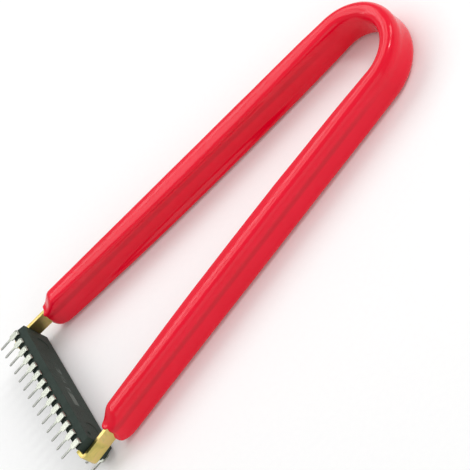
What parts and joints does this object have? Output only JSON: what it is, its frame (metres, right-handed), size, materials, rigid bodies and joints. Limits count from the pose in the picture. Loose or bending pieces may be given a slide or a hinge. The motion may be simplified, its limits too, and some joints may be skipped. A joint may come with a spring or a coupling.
{
  "type": "chip extractor",
  "caption": "Sprung U-shaped extractor with a dipped red coat and two hooked jaws, holding a dual in-line package by its ends.",
  "frame": {"origin": "bottom centre of the bounding box, with the tool lying on its side at the grip shown in the picture", "axes": "+X from the package towards the closed bend, along the tool's length; +Y from the right arm to the left arm; +Z across the width of the strip, up from the surface it lies on"},
  "size_m": [0.1008, 0.0386, 0.0082],
  "materials": {
    "strip": "bright yellow passivated zinc on spring steel",
    "coat": "glossy soft vinyl, dipped",
    "epoxy": "fine matt moulded epoxy",
    "lead_frame": "satin nickel-iron",
    "silicon": "polished silicon",
    "tinned_lead": "satin tin plate"
  },
  "bodies": {
    "bend": {"spring_bend": "strip", "coat_bend": "coat", "package": "epoxy", "die_pad": "lead_frame", "die": "silicon", "lead_01": "tinned_lead", "lead_02": "tinned_lead", "lead_03": "tinned_lead", "lead_04": "tinned_lead", "lead_05": "tinned_lead", "lead_06": "tinned_lead", "lead_07": "tinned_lead", "lead_08": "tinned_lead", "lead_09": "tinned_lead", "lead_10": "tinned_lead", "lead_11": "tinned_lead", "lead_12": "tinned_lead", "lead_13": "tinned_lead", "lead_14": "tinned_lead", "lead_15": "tinned_lead", "lead_16": "tinned_lead", "lead_17": "tinned_lead", "lead_18": "tinned_lead", "lead_19": "tinned_lead", "lead_20": "tinned_lead", "lead_21": "tinned_lead", "lead_22": "tinned_lead", "lead_23": "tinned_lead", "lead_24": "tinned_lead", "lead_25": "tinned_lead", "lead_26": "tinned_lead", "lead_27": "tinned_lead", "lead_28": "tinned_lead"},
    "left_arm": {"spring_left": "strip", "coat_left": "coat"},
    "right_arm": {"spring_right": "strip", "coat_right": "coat"}
  },
  "joints": [
    {"name": "left_opening", "type": "hinge", "parent": "bend", "child": "left_arm", "pos_m": [0.04032, 0.01114, 0.00413], "axis": [0, 0, -1], "range_deg": [0, 4], "stiffness_Nm_per_rad": 3, "springref_deg": 4},
    {"name": "right_opening", "type": "hinge", "parent": "bend", "child": "right_arm", "pos_m": [0.04032, -0.01114, 0.00413], "axis": [0, 0, 1], "range_deg": [0, 4], "stiffness_Nm_per_rad": 3, "springref_deg": 4}
  ],
  "couplings": [
    {"joint": "right_opening", "follows": "left_opening", "ratio": 1}
  ]
}
